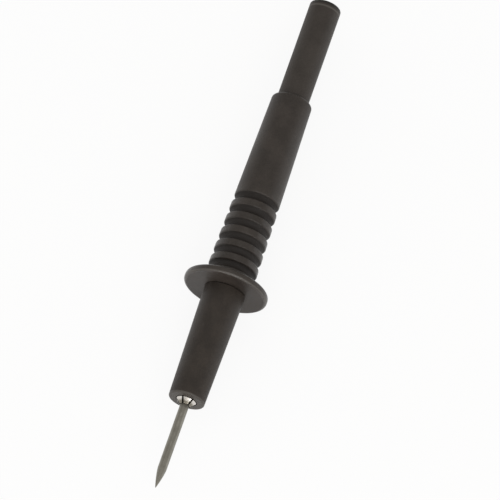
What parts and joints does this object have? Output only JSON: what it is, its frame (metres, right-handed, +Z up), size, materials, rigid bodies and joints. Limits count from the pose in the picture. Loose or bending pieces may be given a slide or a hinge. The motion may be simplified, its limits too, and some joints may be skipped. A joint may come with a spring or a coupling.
{
  "type": "test probe",
  "caption": "Hand-held needle test probe with a collet chuck, a round finger guard, a grooved handle and a 4 mm lead socket.",
  "frame": {"origin": "centre of the mouth of the metal 4 mm contact, 2.5 mm inside the rear end of the insulating tube", "axes": "+X along the probe towards the needle's point, +Z up, +Y to the left as seen from the rear looking towards the point"},
  "size_m": [0.1406, 0.0218, 0.0218],
  "materials": {
    "handle_plastic": "satin, finely spark-eroded mould skin",
    "guard_plastic": "satin",
    "nose_plastic": "satin",
    "tube_plastic": "satin",
    "brass": "turned, knurled outside",
    "screw_brass": "turned",
    "ring_steel": "turned, hardened",
    "nickel": "nickel-plated, satin",
    "body_nickel": "nickel-plated, turned",
    "contact_nickel": "nickel-plated, turned",
    "needle_steel": "ground and dulled",
    "spring_steel": "bright"
  },
  "bodies": {
    "grip": {"handle": "handle_plastic", "finger_guard": "guard_plastic", "collet": "nickel", "chuck_body": "body_nickel", "tie_screw": "screw_brass", "spring_washer": "spring_steel", "socket_contact": "contact_nickel", "socket_tube": "tube_plastic"},
    "jaw_ring": {"closing_ring": "ring_steel"},
    "nose": {"nose_sleeve": "nose_plastic", "thread_insert": "brass"},
    "needle_body": {"needle": "needle_steel"}
  },
  "joints": [
    {"name": "ring_slide", "type": "slide", "parent": "grip", "child": "jaw_ring", "axis": [1, 0, 0], "range_m": [0, 0.006]},
    {"name": "nose_turn", "type": "hinge", "parent": "jaw_ring", "child": "nose", "pos_m": [0.0978, 0, 0], "axis": [1, 0, 0], "range_deg": [0, 2880]},
    {"name": "needle_slide", "type": "slide", "parent": "grip", "child": "needle_body", "axis": [1, 0, 0], "range_m": [0, 0.01]}
  ],
  "couplings": [
    {"joint": "nose_turn", "follows": "ring_slide", "rad_per_m": 8377.5}
  ]
}
